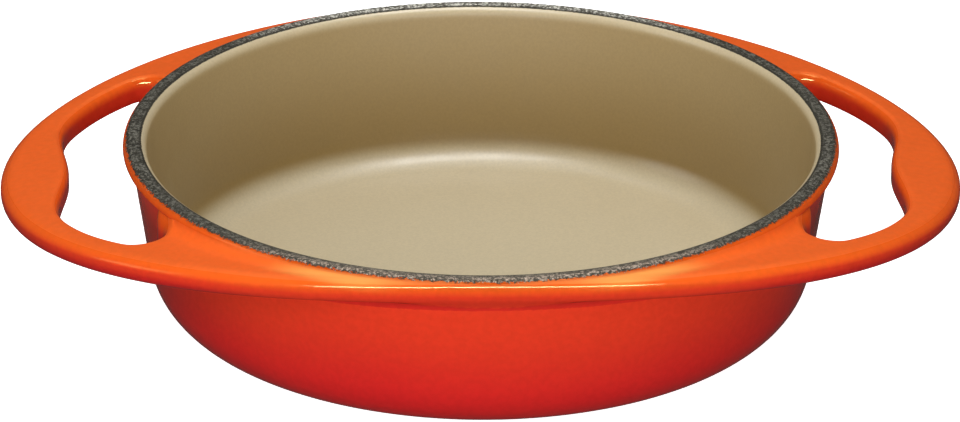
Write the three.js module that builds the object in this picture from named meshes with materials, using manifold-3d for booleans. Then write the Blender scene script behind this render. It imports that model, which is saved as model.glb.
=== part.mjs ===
// Round cast-iron baking dish with two loop handles, enamelled inside and out.
// Millimetres, +Z up. The origin is the middle of the base, and the handles point along +X and -X.
import * as THREE from 'three';
import { mergeVertices } from 'three/addons/utils/BufferGeometryUtils.js';
import Module from 'manifold-3d';

// Bowl, measured over the enamel
const DISH_HEIGHT = 66.2;
const RIM_INSIDE_RADIUS = 125;
const WALL_THICKNESS = 4.6;
const WALL_DRAFT = THREE.MathUtils.degToRad(8.67);
const INSIDE_DRAFT = THREE.MathUtils.degToRad(6.5);
const FLOOR_THICKNESS = 5.6;
const BASE_CORNER_RADIUS = 22;
const INSIDE_CORNER_RADIUS = 14;

// Rim: a rounded lip, a dark band round the mouth, and a bead that stands out from the wall
const LIP_RADIUS = 3.8;
const LIP_SET = 1.6;
const BAND_WIDTH = 5.4;
const BEAD_OVERHANG = 1.4;
const BEAD_HEIGHT = 4.2;
const BEAD_TOP_RADIUS = 2;
const BEAD_UNDER_RADIUS = 1.3;

// Handle plate: an oval round the bead that droops towards both tips
const HANDLE_REACH = 45.15;
const HANDLE_THICKNESS = 9.8;
const HANDLE_DROOP = 14.9;
const DROOP_POWER = 1.91;
const PLATE_BELOW_RIM = 0.75;
const OVAL_SIDE_REACH = 0.2;
const OVAL_FULLNESS = 2.03;
const SIDE_TOP_EDGE_RADIUS = 2.6;
const HANDLE_TOP_EDGE_WIDTH = 5.5;
const HANDLE_TOP_EDGE_DEPTH = 3.4;
const TOP_EDGE_WIDENS_FROM = 5;
const TOP_EDGE_WIDENS_TO = 95;
const PLATE_UNDER_EDGE_DEPTH = 5.6;
const HANDLE_UNDER_EDGE_WIDTH = 6;
const SIDE_UNDER_EDGE_WIDTH = 4;
const UNDER_EDGE_WIDENS_FROM = 30;
const UNDER_EDGE_WIDENS_TO = 110;
const PLATE_ROOT_DEPTH = 5;

// Opening in each handle, with a thumb rest in the middle of the bar
const BAR_WIDTH = 17.75;
const OPENING_HALF_SPAN = 102.3;
const OPENING_FULLNESS = 2.65;
const OPENING_CORNER_RADIUS = 8.5;
const OPENING_CORNER_REACH = 1;
const OPENING_CURL = 14;
const GRIP_TOP_EDGE_WIDTH = 3.5;
const GRIP_TOP_EDGE_DEPTH = 4.5;
const GRIP_UNDER_EDGE_RADIUS = 1.2;
const THUMB_RISE = 7.5;
const THUMB_HALF_LENGTH = 47.5;

// Enamel coats and the joint between each coat and the iron
const COAT = 0.5;
const BOND = 0.3;
const BASE_COAT_MARGIN = 1;

// Fineness of the faceted surfaces
const TURN_STEPS = 48;
const CORNER_STEPS = 4;
const BEAD_STEPS = 3;
const EDGE_STEPS = 2;
const ARM_STEPS = 16;

const WALL_OUTSIDE_RADIUS = RIM_INSIDE_RADIUS + WALL_THICKNESS;
const WALL_INSIDE_RADIUS = RIM_INSIDE_RADIUS - LIP_SET;
const BAND_RADIUS = RIM_INSIDE_RADIUS + BAND_WIDTH;
const BEAD_RADIUS = BAND_RADIUS + BEAD_OVERHANG;
const OVAL_LONG = BEAD_RADIUS + HANDLE_REACH;
const OVAL_SHORT = BEAD_RADIUS + OVAL_SIDE_REACH;
const PLATE_ROOT_RADIUS = RIM_INSIDE_RADIUS - PLATE_ROOT_DEPTH;
const OPENING_ROOT_RADIUS = RIM_INSIDE_RADIUS - PLATE_ROOT_DEPTH / 2;
const IRON_INSET = COAT + BOND;
const CLEAR = DISH_HEIGHT;

const wasm = await Module();
wasm.setup();

// Closed solid from a geometry whose shared corners are merged
function solid(geometry) {
  geometry.deleteAttribute('normal');
  geometry.deleteAttribute('uv');
  const merged = mergeVertices(geometry, 1e-4);
  return new wasm.Manifold(new wasm.Mesh({
    numProp: 3,
    vertProperties: new Float32Array(merged.attributes.position.array),
    triVerts: new Uint32Array(merged.index.array),
  }));
}

// Solid of revolution about Z from a profile of (radius, height) points that starts and ends on the axis
// or closes on itself, with the material on its left
function turned(profile) {
  const geometry = new THREE.LatheGeometry(profile, TURN_STEPS);
  geometry.rotateX(Math.PI / 2);
  return solid(geometry);
}

// Points of a round arc about (x, y), both ends included, or of an oval one where a height is given
function arc(x, y, radius, from, to, steps, height = radius) {
  return new THREE.EllipseCurve(x, y, radius, height, from, to, to < from).getPoints(steps);
}

// Middle of the round corner between a level face and the drafted wall through (radius, DISH_HEIGHT)
function cornerCentre(radius, draft, level, cornerRadius) {
  const height = level + cornerRadius;
  const back = cornerRadius + Math.sin(draft) * (DISH_HEIGHT - height);
  return new THREE.Vector2(radius - back / Math.cos(draft), height);
}

// Point at a height on the drafted wall that passes through (radius, DISH_HEIGHT), moved outwards by grow
function wallPoint(radius, draft, height, grow) {
  const shift = grow / Math.cos(draft);
  return new THREE.Vector2(radius + shift - (DISH_HEIGHT - height) * Math.tan(draft), height);
}

// Outside of the bowl with the bead, filled inside, set in all round by inset
function bowlSolid(inset) {
  const corner = cornerCentre(WALL_OUTSIDE_RADIUS, WALL_DRAFT, 0, BASE_CORNER_RADIUS);
  const under = DISH_HEIGHT - BEAD_HEIGHT + inset;
  const face = BEAD_RADIUS - inset;
  const underRadius = BEAD_UNDER_RADIUS - inset;
  const topRadius = BEAD_TOP_RADIUS - inset;
  const top = DISH_HEIGHT - inset;
  return turned([
    new THREE.Vector2(0, inset),
    ...arc(corner.x, corner.y, BASE_CORNER_RADIUS - inset, -Math.PI / 2, -WALL_DRAFT, CORNER_STEPS),
    wallPoint(WALL_OUTSIDE_RADIUS, WALL_DRAFT, under, -inset),
    ...arc(face - underRadius, under + underRadius, underRadius, -Math.PI / 2, 0, BEAD_STEPS),
    ...arc(face - topRadius, top - topRadius, topRadius, 0, Math.PI / 2, BEAD_STEPS),
    new THREE.Vector2(0, top),
  ]);
}

// Rounded lip from the inside wall up to the mouth, set back into the wall by grow
function lipArc(grow) {
  const height = DISH_HEIGHT - LIP_RADIUS;
  const centre = wallPoint(WALL_INSIDE_RADIUS, INSIDE_DRAFT, height, LIP_RADIUS);
  const radius = LIP_RADIUS - grow;
  const end = Math.PI - Math.acos((centre.x - RIM_INSIDE_RADIUS - grow) / radius);
  return arc(centre.x, height, radius, Math.PI - INSIDE_DRAFT, end, BEAD_STEPS);
}

// Space inside the bowl up to a level, widened all round by grow
function cavitySolid(grow, level) {
  const corner = cornerCentre(WALL_INSIDE_RADIUS, INSIDE_DRAFT, FLOOR_THICKNESS, INSIDE_CORNER_RADIUS);
  return turned([
    new THREE.Vector2(0, FLOOR_THICKNESS - grow),
    ...arc(corner.x, corner.y, INSIDE_CORNER_RADIUS + grow, -Math.PI / 2, -INSIDE_DRAFT, CORNER_STEPS),
    ...lipArc(grow),
    new THREE.Vector2(RIM_INSIDE_RADIUS + grow, level),
    new THREE.Vector2(0, level),
  ]);
}

// Upright cylinder between two levels, or a ring where it has an inner radius
function ringSolid(inner, outer, bottom, top) {
  const profile = [
    new THREE.Vector2(inner, bottom),
    new THREE.Vector2(outer, bottom),
    new THREE.Vector2(outer, top),
    new THREE.Vector2(inner, top),
  ];
  if (inner > 0) profile.push(profile[0].clone());
  return turned(profile);
}

// Radius of a full oval at a polar angle
function ovalRadius(long, short, fullness, angle) {
  const across = Math.abs(Math.cos(angle) / long) ** fullness;
  const along = Math.abs(Math.sin(angle) / short) ** fullness;
  return (across + along) ** (-1 / fullness);
}

// Height of the plate's upper face over the plan's x
function plateTop(x) {
  return DISH_HEIGHT - PLATE_BELOW_RIM - HANDLE_DROOP * Math.abs(x / OVAL_LONG) ** DROOP_POWER;
}

// Plate's section at a polar angle as (radius, depth under the upper face) points, anticlockwise
function plateSection(angle, inset) {
  const edge = ovalRadius(OVAL_LONG - inset, OVAL_SHORT - inset, OVAL_FULLNESS, angle);
  const across = Math.abs(edge * Math.cos(angle));
  const above = THREE.MathUtils.smoothstep(across, TOP_EDGE_WIDENS_FROM, TOP_EDGE_WIDENS_TO);
  const upper = THREE.MathUtils.lerp(SIDE_TOP_EDGE_RADIUS, HANDLE_TOP_EDGE_WIDTH, above) - inset;
  const upperDepth = THREE.MathUtils.lerp(SIDE_TOP_EDGE_RADIUS, HANDLE_TOP_EDGE_DEPTH, above) - inset;
  const below = THREE.MathUtils.smoothstep(across, UNDER_EDGE_WIDENS_FROM, UNDER_EDGE_WIDENS_TO);
  const lower = THREE.MathUtils.lerp(SIDE_UNDER_EDGE_WIDTH, HANDLE_UNDER_EDGE_WIDTH, below) - inset;
  const lowerDepth = PLATE_UNDER_EDGE_DEPTH - inset;
  const bottom = inset - HANDLE_THICKNESS;
  return [
    new THREE.Vector2(PLATE_ROOT_RADIUS, bottom),
    ...arc(edge - lower, bottom + lowerDepth, lower, -Math.PI / 2, 0, EDGE_STEPS, lowerDepth),
    ...arc(edge - upper, -inset - upperDepth, upper, 0, Math.PI / 2, EDGE_STEPS, upperDepth),
    new THREE.Vector2(PLATE_ROOT_RADIUS, -inset),
  ];
}

// Oval ring round the bowl, before the openings are cut
function plateSolid(inset) {
  const positions = [];
  const index = [];
  const count = plateSection(0, inset).length;
  for (let turn = 0; turn < TURN_STEPS; turn += 1) {
    const angle = 2 * Math.PI * turn / TURN_STEPS;
    const next = (turn + 1) % TURN_STEPS;
    plateSection(angle, inset).forEach((point, side) => {
      const x = point.x * Math.cos(angle);
      positions.push(x, point.x * Math.sin(angle), plateTop(x) + point.y);
      const here = turn * count + side;
      const hereUp = turn * count + (side + 1) % count;
      const there = next * count + side;
      const thereUp = next * count + (side + 1) % count;
      index.push(here, there, hereUp, hereUp, there, thereUp);
    });
  }
  const geometry = new THREE.BufferGeometry();
  geometry.setAttribute('position', new THREE.Float32BufferAttribute(positions, 3));
  geometry.setIndex(index);
  return solid(geometry);
}

// Plan point on the bar's inner edge at a polar angle of its oval, with the thumb rest
function barEdge(angle) {
  const radius = ovalRadius(OVAL_LONG - BAR_WIDTH, OPENING_HALF_SPAN, OPENING_FULLNESS, angle);
  const y = radius * Math.sin(angle);
  const share = Math.min(Math.abs(y) / THUMB_HALF_LENGTH, 1);
  const rise = THUMB_RISE * Math.cos(share * Math.PI / 2) ** 2;
  return new THREE.Vector2(radius * Math.cos(angle) - rise, y);
}

// Direction out of the opening, square to the bar's inner edge
function barNormal(angle) {
  const step = 1e-4;
  const along = barEdge(angle + step).sub(barEdge(angle - step)).normalize();
  return new THREE.Vector2(along.y, -along.x);
}

// Half of the opening's outline, widened by grow: from the thumb rest along the bar and round the corner,
// which just clears the bead, then in a curl under the bead to the wall and along it
function openingHalf(grow) {
  const clearRadius = BEAD_RADIUS + OPENING_CORNER_REACH;
  const corner = (angle) => barEdge(angle).addScaledVector(barNormal(angle), -OPENING_CORNER_RADIUS);
  let open = 0;
  let shut = Math.PI / 2;
  for (let halving = 0; halving < 40; halving += 1) {
    const middle = (open + shut) / 2;
    if (corner(middle).length() > clearRadius + OPENING_CORNER_RADIUS) open = middle;
    else shut = middle;
  }
  const centre = corner(open);
  const start = barNormal(open).angle();
  const bearing = centre.angle();
  const landing = bearing - OPENING_CURL / clearRadius;
  const points = [];
  for (let step = 0; step < ARM_STEPS; step += 1) {
    const angle = open * step / ARM_STEPS;
    points.push(barEdge(angle).addScaledVector(barNormal(angle), grow));
  }
  const turn = OPENING_CORNER_RADIUS + grow;
  points.push(...arc(centre.x, centre.y, turn, start, bearing + Math.PI, CORNER_STEPS));
  for (let step = 1; step < CORNER_STEPS; step += 1) {
    const share = step / CORNER_STEPS;
    const radius = THREE.MathUtils.lerp(clearRadius - grow, OPENING_ROOT_RADIUS, share ** 2);
    const angle = THREE.MathUtils.lerp(bearing, landing, share);
    points.push(new THREE.Vector2(radius * Math.cos(angle), radius * Math.sin(angle)));
  }
  points.push(...arc(0, 0, OPENING_ROOT_RADIUS, landing, 0, CORNER_STEPS));
  return points;
}

// Whole outline of the opening in the handle at +X, widened by grow, anticlockwise
function openingOutline(grow) {
  const half = openingHalf(grow);
  const mirrored = half.slice(1, -1).reverse().map((point) => new THREE.Vector2(point.x, -point.y));
  return [...half, ...mirrored];
}

// Cutter for that opening, which leaves the edges rounded, in metal that is set in all round by inset
function openingSolid(inset) {
  const bottom = inset - HANDLE_THICKNESS;
  const top = GRIP_TOP_EDGE_DEPTH - inset;
  const across = GRIP_TOP_EDGE_WIDTH - inset;
  const under = GRIP_UNDER_EDGE_RADIUS - inset;
  const section = [
    ...arc(GRIP_UNDER_EDGE_RADIUS, bottom + under, under, 1.5 * Math.PI, Math.PI, EDGE_STEPS),
    ...arc(GRIP_TOP_EDGE_WIDTH, -GRIP_TOP_EDGE_DEPTH, across, Math.PI, Math.PI / 2, EDGE_STEPS, top),
  ];
  const lowest = openingOutline(GRIP_UNDER_EDGE_RADIUS);
  const highest = openingOutline(GRIP_TOP_EDGE_WIDTH);
  const rings = [
    lowest.map((point) => [point.x, point.y, -CLEAR]),
    ...section.map((level) => openingOutline(level.x).map(
      (point) => [point.x, point.y, plateTop(point.x) + level.y],
    )),
    highest.map((point) => [point.x, point.y, DISH_HEIGHT + CLEAR]),
  ];
  const count = lowest.length;
  const index = [];
  for (let ring = 0; ring < rings.length - 1; ring += 1) {
    for (let side = 0; side < count; side += 1) {
      const here = ring * count + side;
      const next = ring * count + (side + 1) % count;
      index.push(here, next, next + count, here, next + count, here + count);
    }
  }
  const lid = (rings.length - 1) * count;
  const floorFaces = THREE.ShapeUtils.triangulateShape(lowest, []);
  const lidFaces = THREE.ShapeUtils.triangulateShape(highest, []);
  floorFaces.forEach(([a, b, c]) => index.push(a, c, b));
  lidFaces.forEach(([a, b, c]) => index.push(lid + a, lid + b, lid + c));
  const geometry = new THREE.BufferGeometry();
  geometry.setAttribute('position', new THREE.Float32BufferAttribute(rings.flat(2), 3));
  geometry.setIndex(index);
  return solid(geometry);
}

// Bowl, bead and handles in one, filled inside, set in all round by inset
function bodySolid(inset) {
  const opening = openingSolid(inset);
  const plate = plateSolid(inset).subtract(opening).subtract(opening.rotate([0, 0, 180]));
  return bowlSolid(inset).add(plate);
}

// Named mesh from a solid
function piece(name, shape, material) {
  const mesh = shape.getMesh();
  const geometry = new THREE.BufferGeometry();
  geometry.setAttribute('position', new THREE.BufferAttribute(mesh.vertProperties, 3));
  geometry.setIndex(new THREE.BufferAttribute(mesh.triVerts, 1));
  geometry.computeVertexNormals();
  const result = new THREE.Mesh(geometry, material);
  result.name = name;
  return result;
}

const iron = new THREE.MeshStandardMaterial({ color: 0x3b3b3d, roughness: 0.75, metalness: 0.8 });
const orange = new THREE.MeshStandardMaterial({ color: 0xe0561f, roughness: 0.18, metalness: 0 });
const red = new THREE.MeshStandardMaterial({ color: 0xa81c24, roughness: 0.25, metalness: 0 });
const sand = new THREE.MeshStandardMaterial({ color: 0xc3b48f, roughness: 0.35, metalness: 0 });
const slate = new THREE.MeshStandardMaterial({ color: 0x46484a, roughness: 0.85, metalness: 0 });

// The casting: bowl, bead and both handles are poured as one
const casting = bodySolid(IRON_INSET).subtract(cavitySolid(IRON_INSET, DISH_HEIGHT + CLEAR));

// Outer coat all round, which is then parted into the rim band, the base and the coloured outside
const outerCoat = bodySolid(0).subtract(bodySolid(COAT));
const rimLevel = DISH_HEIGHT - BEAD_TOP_RADIUS;
const baseFlat = cornerCentre(WALL_OUTSIDE_RADIUS, WALL_DRAFT, 0, BASE_CORNER_RADIUS).x;
const baseRadius = baseFlat + BASE_COAT_MARGIN;
const bandInside = RIM_INSIDE_RADIUS + IRON_INSET;
const rimBand = outerCoat.intersect(ringSolid(bandInside, BAND_RADIUS, rimLevel, DISH_HEIGHT + CLEAR));
const baseCoat = outerCoat.intersect(ringSolid(0, baseRadius, -CLEAR, IRON_INSET));
const outsideCoat = outerCoat
  .subtract(ringSolid(0, BAND_RADIUS + BOND, rimLevel, DISH_HEIGHT + CLEAR))
  .subtract(ringSolid(0, baseRadius + BOND, -CLEAR, IRON_INSET));

// Inner coat over the floor, the wall and the lip, up to the mouth
const lipLevel = lipArc(0).at(-1).y;
const insideCoat = cavitySolid(COAT, lipLevel).subtract(cavitySolid(0, DISH_HEIGHT + CLEAR));

const dish = new THREE.Group();
dish.add(
  piece('cast_iron_body', casting, iron),
  piece('exterior_enamel', outsideCoat, orange),
  piece('interior_enamel', insideCoat, sand),
  piece('rim_ground_coat', rimBand, slate),
  piece('base_enamel', baseCoat, red),
);

export default dish;
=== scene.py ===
"""Round enamelled cast-iron baking dish with two loop handles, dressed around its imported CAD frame."""

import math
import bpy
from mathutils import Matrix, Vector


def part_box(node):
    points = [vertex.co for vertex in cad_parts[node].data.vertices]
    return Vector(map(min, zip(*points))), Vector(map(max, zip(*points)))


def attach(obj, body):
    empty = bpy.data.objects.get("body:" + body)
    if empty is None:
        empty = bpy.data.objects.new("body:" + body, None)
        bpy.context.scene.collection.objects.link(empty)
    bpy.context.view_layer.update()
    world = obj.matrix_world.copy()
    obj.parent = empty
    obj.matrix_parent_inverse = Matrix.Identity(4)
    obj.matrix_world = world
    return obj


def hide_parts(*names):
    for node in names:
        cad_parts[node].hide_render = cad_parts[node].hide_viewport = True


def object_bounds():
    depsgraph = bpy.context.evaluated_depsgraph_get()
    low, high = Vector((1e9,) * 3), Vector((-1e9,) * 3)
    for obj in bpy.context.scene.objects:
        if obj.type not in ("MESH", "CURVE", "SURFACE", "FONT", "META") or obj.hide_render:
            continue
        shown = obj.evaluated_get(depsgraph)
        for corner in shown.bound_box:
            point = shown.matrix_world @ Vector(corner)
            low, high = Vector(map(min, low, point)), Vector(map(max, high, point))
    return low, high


bl_info = {
    "name": "Tarte tatin dish",
    "version": (1, 0, 0),
    "blender": (4, 5, 0),
    "location": "View3D > Sidebar > Dish",
    "description": "Builds an enamelled cast-iron baking dish around its CAD frame",
    "category": "Add Mesh",
}

import bmesh
import bpy
import numpy as np
from bpy.props import FloatProperty, FloatVectorProperty, PointerProperty
from mathutils import Quaternion, Vector

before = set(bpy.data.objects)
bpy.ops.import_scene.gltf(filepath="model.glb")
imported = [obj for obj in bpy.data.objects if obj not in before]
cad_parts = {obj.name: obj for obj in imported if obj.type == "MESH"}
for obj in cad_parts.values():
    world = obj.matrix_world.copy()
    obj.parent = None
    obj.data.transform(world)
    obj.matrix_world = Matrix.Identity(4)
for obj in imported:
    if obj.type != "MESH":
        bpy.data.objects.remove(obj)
CAD_BOX = [list(corner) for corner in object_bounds()]
RIM_HEIGHT = CAD_BOX[1][2]
HANDLE_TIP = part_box("exterior_enamel")[1].x
UP = np.array([0, 0, 1.0])
TURN_STEPS = 288  # stations round the dish
WELD, SLIVER = 2e-7, 1e-8  # metres: nearer points become one, shorter edges go
TINY = 1e-9  # counts as nothing
CREASE = math.radians(40)  # a sharper edge is shaded as an edge


def length(name, description, default):
    """A size in metres."""
    return FloatProperty(name=name, description=description, default=default, unit="LENGTH", precision=5)


def turn(name, description, default):
    """An angle given in degrees."""
    return FloatProperty(name=name, description=description, default=math.radians(default), subtype="ANGLE")


def paint(name, description, default):
    """A linear colour."""
    return FloatVectorProperty(
        name=name, description=description, default=default, subtype="COLOR", min=0, max=1
    )


def power(name, description, default):
    """A light's power in watts."""
    return FloatProperty(name=name, description=description, default=default, unit="POWER")


def number(name, description, default):
    """A plain number, such as a power or a share."""
    return FloatProperty(name=name, description=description, default=default)


class DishBowlSizes(bpy.types.PropertyGroup):
    """Sizes of the bowl, its rim and its bead, measured over the enamel"""

    height: length("Height", "Table to the top of the rim", RIM_HEIGHT)
    mouth_radius: length("Mouth radius", "Inner edge of the dark rim band", 0.125)
    wall: length("Wall", "Outside wall beyond the mouth at the rim's level", 0.0046)
    lean: turn("Lean", "How far the outside wall leans out", 8.67)
    inside_lean: turn("Inside lean", "How far the inside wall leans out", 6.5)
    floor: length("Floor", "Thickness of the floor", 0.0056)
    base_corner: length("Base corner", "Radius of the outer corner at the base", 0.022)
    inside_corner: length("Inside corner", "Radius between floor and wall", 0.014)
    lip_radius: length("Lip", "Rounding of the mouth's inner edge", 0.0038)
    lip_set: length("Lip set", "How far the inside wall stands in from the mouth radius", 0.0016)
    band_width: length("Band width", "Width of the dark rim band", 0.0054)
    bead_overhang: length("Bead overhang", "Bead beyond the band", 0.0014)
    bead_height: length("Bead height", "Height of the bead", 0.0042)
    bead_top: length("Bead shoulder", "Radius of the bead's shoulder", 0.0032)
    bead_under: length("Bead underside", "Radius under the bead", 0.0009)
    bead_root: length("Bead root", "Fillet between bead and wall", 0.0021)
    coat: length("Coat", "Thickness of the enamel", 0.0005)
    base_margin: length("Base margin", "Base coat beyond the flat", 0.001)


class DishHandleSizes(bpy.types.PropertyGroup):
    """Sizes of the oval handle plate and of the grip openings"""

    tip: length("Tip", "Middle of the dish to the handle's tip", HANDLE_TIP)
    side_reach: length("Side reach", "Plate beyond the bead at the sides", 0.0002)
    fullness: number("Fullness", "Power of the outer oval", 2.03)
    thickness: length("Thickness", "Thickness of the plate at the handles", 0.0098)
    side_share: number("Side share", "Share of that thickness at the sides", 0.9)
    droop: length("Droop", "Fall of the plate to the tip", 0.0149)
    droop_power: number("Droop power", "How late the plate bends down", 1.91)
    below_rim: length("Below rim", "Plate below the rim at the sides", 0.00075)
    top_side: length("Top side", "Rounding of the upper outer edge at the sides of the dish", 0.0026)
    top_width: length("Top width", "Width of the rounding on the handles' upper outer edge", 0.0055)
    top_depth: length("Top depth", "Depth of the rounding on the handles' upper outer edge", 0.0034)
    top_from: length("Top from", "Distance across at which that rounding begins to widen", 0.005)
    top_to: length("Top to", "Distance across at which that rounding is full", 0.095)
    under_width: length("Under width", "Width of the rounding under the handles' outer edge", 0.0060)
    under_depth: length("Under depth", "Depth of the rounding under the plate's outer edge", 0.0056)
    under_side: length("Under side", "Width of that rounding at the sides of the dish", 0.0040)
    under_from: length("Under from", "Distance across at which that rounding begins to widen", 0.030)
    under_to: length("Under to", "Distance across at which that rounding is full", 0.110)
    bar_width: length("Bar width", "Width of the bar at the notches' line", 0.01775)
    half_span: length("Half span", "Half of the opening's span", 0.1023)
    opening_fullness: number("Opening fullness", "Power of the opening's oval", 2.65)
    corner_radius: length("Opening corner", "Radius of the opening's corner", 0.0085)
    corner_reach: length("Corner reach", "Opening's corner beyond the bead", 0.001)
    curl: length("Curl", "Length over which the opening's corner runs out along the bead", 0.014)
    thumb_rise: length("Thumb rest", "How far the thumb rest swells into the opening", 0.0075)
    thumb_half: length("Thumb rest half length", "Half of the thumb rest's length", 0.0475)
    grip_round: length("Grip rounding", "Width of the rounding at the opening's upper edge", 0.0035)
    grip_depth: length("Grip depth", "Depth of the rounding at the opening's upper edge", 0.0045)
    grip_under: length("Grip underside", "Radius of the opening's lower edge", 0.0012)
    blend: length("Blend", "Fillet between the plate and the bead", 0.0050)
    under_blend: length("Under blend", "Fillet between the plate and the wall", 0.0045)


class DishColours(bpy.types.PropertyGroup):
    """Colours of the enamels, the ground coat, the iron and the floor"""

    orange: paint("Orange", "Handles and bead", (0.85, 0.115, 0.012))
    # Amber is a painted glint: light caught in the fillet beside the bead, left and right of the front
    glint_amber: paint("Amber", "Thin glaze beside the bead at the front", (0.92, 0.40, 0.085))
    ember: paint("Ember", "Upper wall", (0.80, 0.046, 0.017))
    crimson: paint("Crimson", "Foot of the wall", (0.66, 0.0150, 0.0175))
    sand: paint("Sand", "Inside enamel on the floor and the lip", (0.645, 0.55, 0.365))
    # Sand high and sand low are painted shade: the inside wall drawn darker and browner than the floor,
    # darkest low down
    shaded_sand_high: paint("Sand high", "Inside enamel high on the wall", (0.365, 0.264, 0.124))
    shaded_sand_low: paint("Sand low", "Inside enamel low on the wall", (0.30, 0.198, 0.068))
    slate: paint("Slate", "Bare ground coat on the rim", (0.012, 0.013, 0.013))
    slate_fleck: paint("Slate fleck", "Flecks in the ground coat at the sides", (0.19, 0.185, 0.155))
    # The next four colours are painted highlight: the ground coat and its flecks drawn paler at the front and
    # the back
    slate_glint_in: paint("Slate dim", "Flecks in the ground coat at the front, inwards", (0.235, 0.22, 0.17))
    slate_glint_out: paint("Slate pale", "Flecks in the ground coat at the front, outwards", (0.60, 0.47, 0.37))
    slate_glint_back: paint("Slate chalk", "Flecks in the ground coat at the back", (0.95, 0.93, 0.82))
    slate_glint_ground: paint("Slate worn", "Ground coat between the flecks, front and back", (0.072, 0.066, 0.054))
    flame_sheen: paint("Flame sheen", "Tint of the gloss on the outside enamel", (1.0, 0.76, 0.24))
    slate_sheen: paint("Slate sheen", "Tint of the gloss on the rim band", (1.0, 0.84, 0.48))
    iron: paint("Iron", "Casting under the enamel", (0.045, 0.045, 0.047))
    floor: paint("Floor", "Studio floor", (0.90, 0.90, 0.90))


class DishStage(bpy.types.PropertyGroup):
    """Camera and light"""

    distance: length("Distance", "Camera to the aim point", 3.0)
    elevation: turn("Elevation", "Camera above the horizon", 23.768)
    azimuth: turn("Azimuth", "Camera round the dish", -1.48)
    roll: turn("Roll", "Camera about its own axis", 0.2836)
    lens: number("Lens", "Focal length on a 36 mm sensor", 304.47)
    aim_x: length("Aim across", "Aim point across the picture", -0.0002295)
    aim_height: length("Aim height", "Aim point above the table", 0.035593)
    front_power: power("Front", "Long low softbox in front, for even light only", 9.8)
    middle_power: power("Middle", "Short low softbox in front, for even light only", 3.9)
    visor_power: power("Visor", "Softbox high in front, for even light only", 4.3)
    brow_power: power("Brow", "Narrow softbox high in front, mirrored by the outside and the rim only", 74.0)
    top_power: power("Top", "Softbox overhead", 22.6)
    high_back_power: power("High back", "Softbox overhead, towards the back", 6.5)
    back_power: power("Back", "Softbox behind and above", 3.6)
    rear_power: power("Rear", "Long low softbox behind the dish", 1.4)
    left_power: power("Left", "Softbox on the left", 3.8)
    bounce_power: power("Bounce", "Light thrown back by the table", 4.0)
    ambient: number("Ambient", "Strength of the even light", 0.05)


# Grids and meshes


def arc(reach, height, radius, start, end, steps):
    """Points of an arc about (reach, height): centre plus radius times (cos a, sin a), ends included."""
    angles = np.linspace(start, end, steps + 1)
    return np.stack([reach + radius * np.cos(angles), height + radius * np.sin(angles)], -1)


def shell(profile, thickness):
    """Closes a profile with its copy moved to its left by the thickness, square to its run, and reversed."""
    run = np.gradient(profile, axis=0)
    run /= np.linalg.norm(run, axis=1, keepdims=True)
    left = np.stack([-run[:, 1], run[:, 0]], -1)
    inner = profile + thickness * left
    inner[:, 0] = np.where(profile[:, 0] < TINY, 0.0, inner[:, 0])
    return np.concatenate([profile, inner[::-1]])


def lathe(profile, closed=True, warmth=0.0):
    """Turns a profile about Z into a grid of (r cos a, r sin a, z) at equal angles a.

    The material is on the profile's left, which gives the outward direction.
    """
    angles = np.linspace(0, 2 * np.pi, TURN_STEPS + 1)
    angles[-1] = 0
    if closed:
        profile = np.concatenate([profile, profile[:1]])
    points = np.empty((TURN_STEPS + 1, len(profile), 3))
    points[..., 0] = np.cos(angles)[:, None] * profile[:, 0]
    points[..., 1] = np.sin(angles)[:, None] * profile[:, 0]
    points[..., 2] = profile[:, 1]
    outward = np.cross(np.gradient(points, axis=0), np.gradient(points, axis=1))
    return points, outward, warmth


def faces_of(points, outward):
    """Quads of a grid, turned so that their normals agree with the outward direction on the whole."""
    along = np.gradient(points, axis=0)
    across = np.gradient(points, axis=1)
    agree = (np.cross(along, across) * outward).sum()
    index = np.arange(points.shape[0] * points.shape[1]).reshape(points.shape[:2])
    quads = np.stack([index[:-1, :-1], index[1:, :-1], index[1:, 1:], index[:-1, 1:]], -1).reshape(-1, 4)
    return quads if agree > 0 else quads[:, ::-1]


def make_piece(context, name, blocks):
    """Joins grids of (points, outward direction, warmth) into one closed mesh, shared edges welded."""
    points = []
    quads = []
    warmths = []
    start = 0
    for grid, outward, warmth in blocks:
        points.append(grid.reshape(-1, 3))
        quads.append(faces_of(grid, outward) + start)
        warmths.append(np.broadcast_to(warmth, grid.shape[:2]).reshape(-1))
        start += grid.shape[0] * grid.shape[1]
    mesh = bpy.data.meshes.new(name)
    mesh.from_pydata(np.concatenate(points), [], np.concatenate(quads))
    tint = mesh.attributes.new("warmth", "FLOAT", "POINT")
    tint.data.foreach_set("value", np.concatenate(warmths).astype(np.float32))
    work = bmesh.new()
    work.from_mesh(mesh)
    bmesh.ops.remove_doubles(work, verts=work.verts, dist=WELD)
    bmesh.ops.dissolve_degenerate(work, edges=work.edges, dist=SLIVER)
    open_edges = [edge for edge in work.edges if edge.is_boundary]
    if open_edges:
        bmesh.ops.holes_fill(work, edges=open_edges, sides=0)
    work.to_mesh(mesh)
    work.free()
    mesh.shade_smooth()
    mesh.set_sharp_from_angle(angle=CREASE)
    piece = bpy.data.objects.new(name, mesh)
    context.scene.collection.objects.link(piece)
    return piece


def smooth(value, low, high):
    """Rises from 0 to 1 between low and high with level ends."""
    share = np.clip((value - low) / (high - low), 0, 1)
    return share * share * (3 - 2 * share)


# Profiles of the bowl


def corner_centre(bowl, radius, lean, level, corner):
    """Middle of the round corner between a level face and the leaning wall through (radius, rim height)."""
    height = level + corner
    back = corner + math.sin(lean) * (bowl.height - height)
    return radius - back / math.cos(lean), height


def wall_radius(bowl, radius, lean, height):
    """Radius of the leaning wall through (radius, rim height) at a height."""
    return radius - (bowl.height - height) * math.tan(lean)


def outside_wall(bowl, height):
    """Radius of the outside wall at a height."""
    return wall_radius(bowl, bowl.mouth_radius + bowl.wall, bowl.lean, height)


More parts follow.
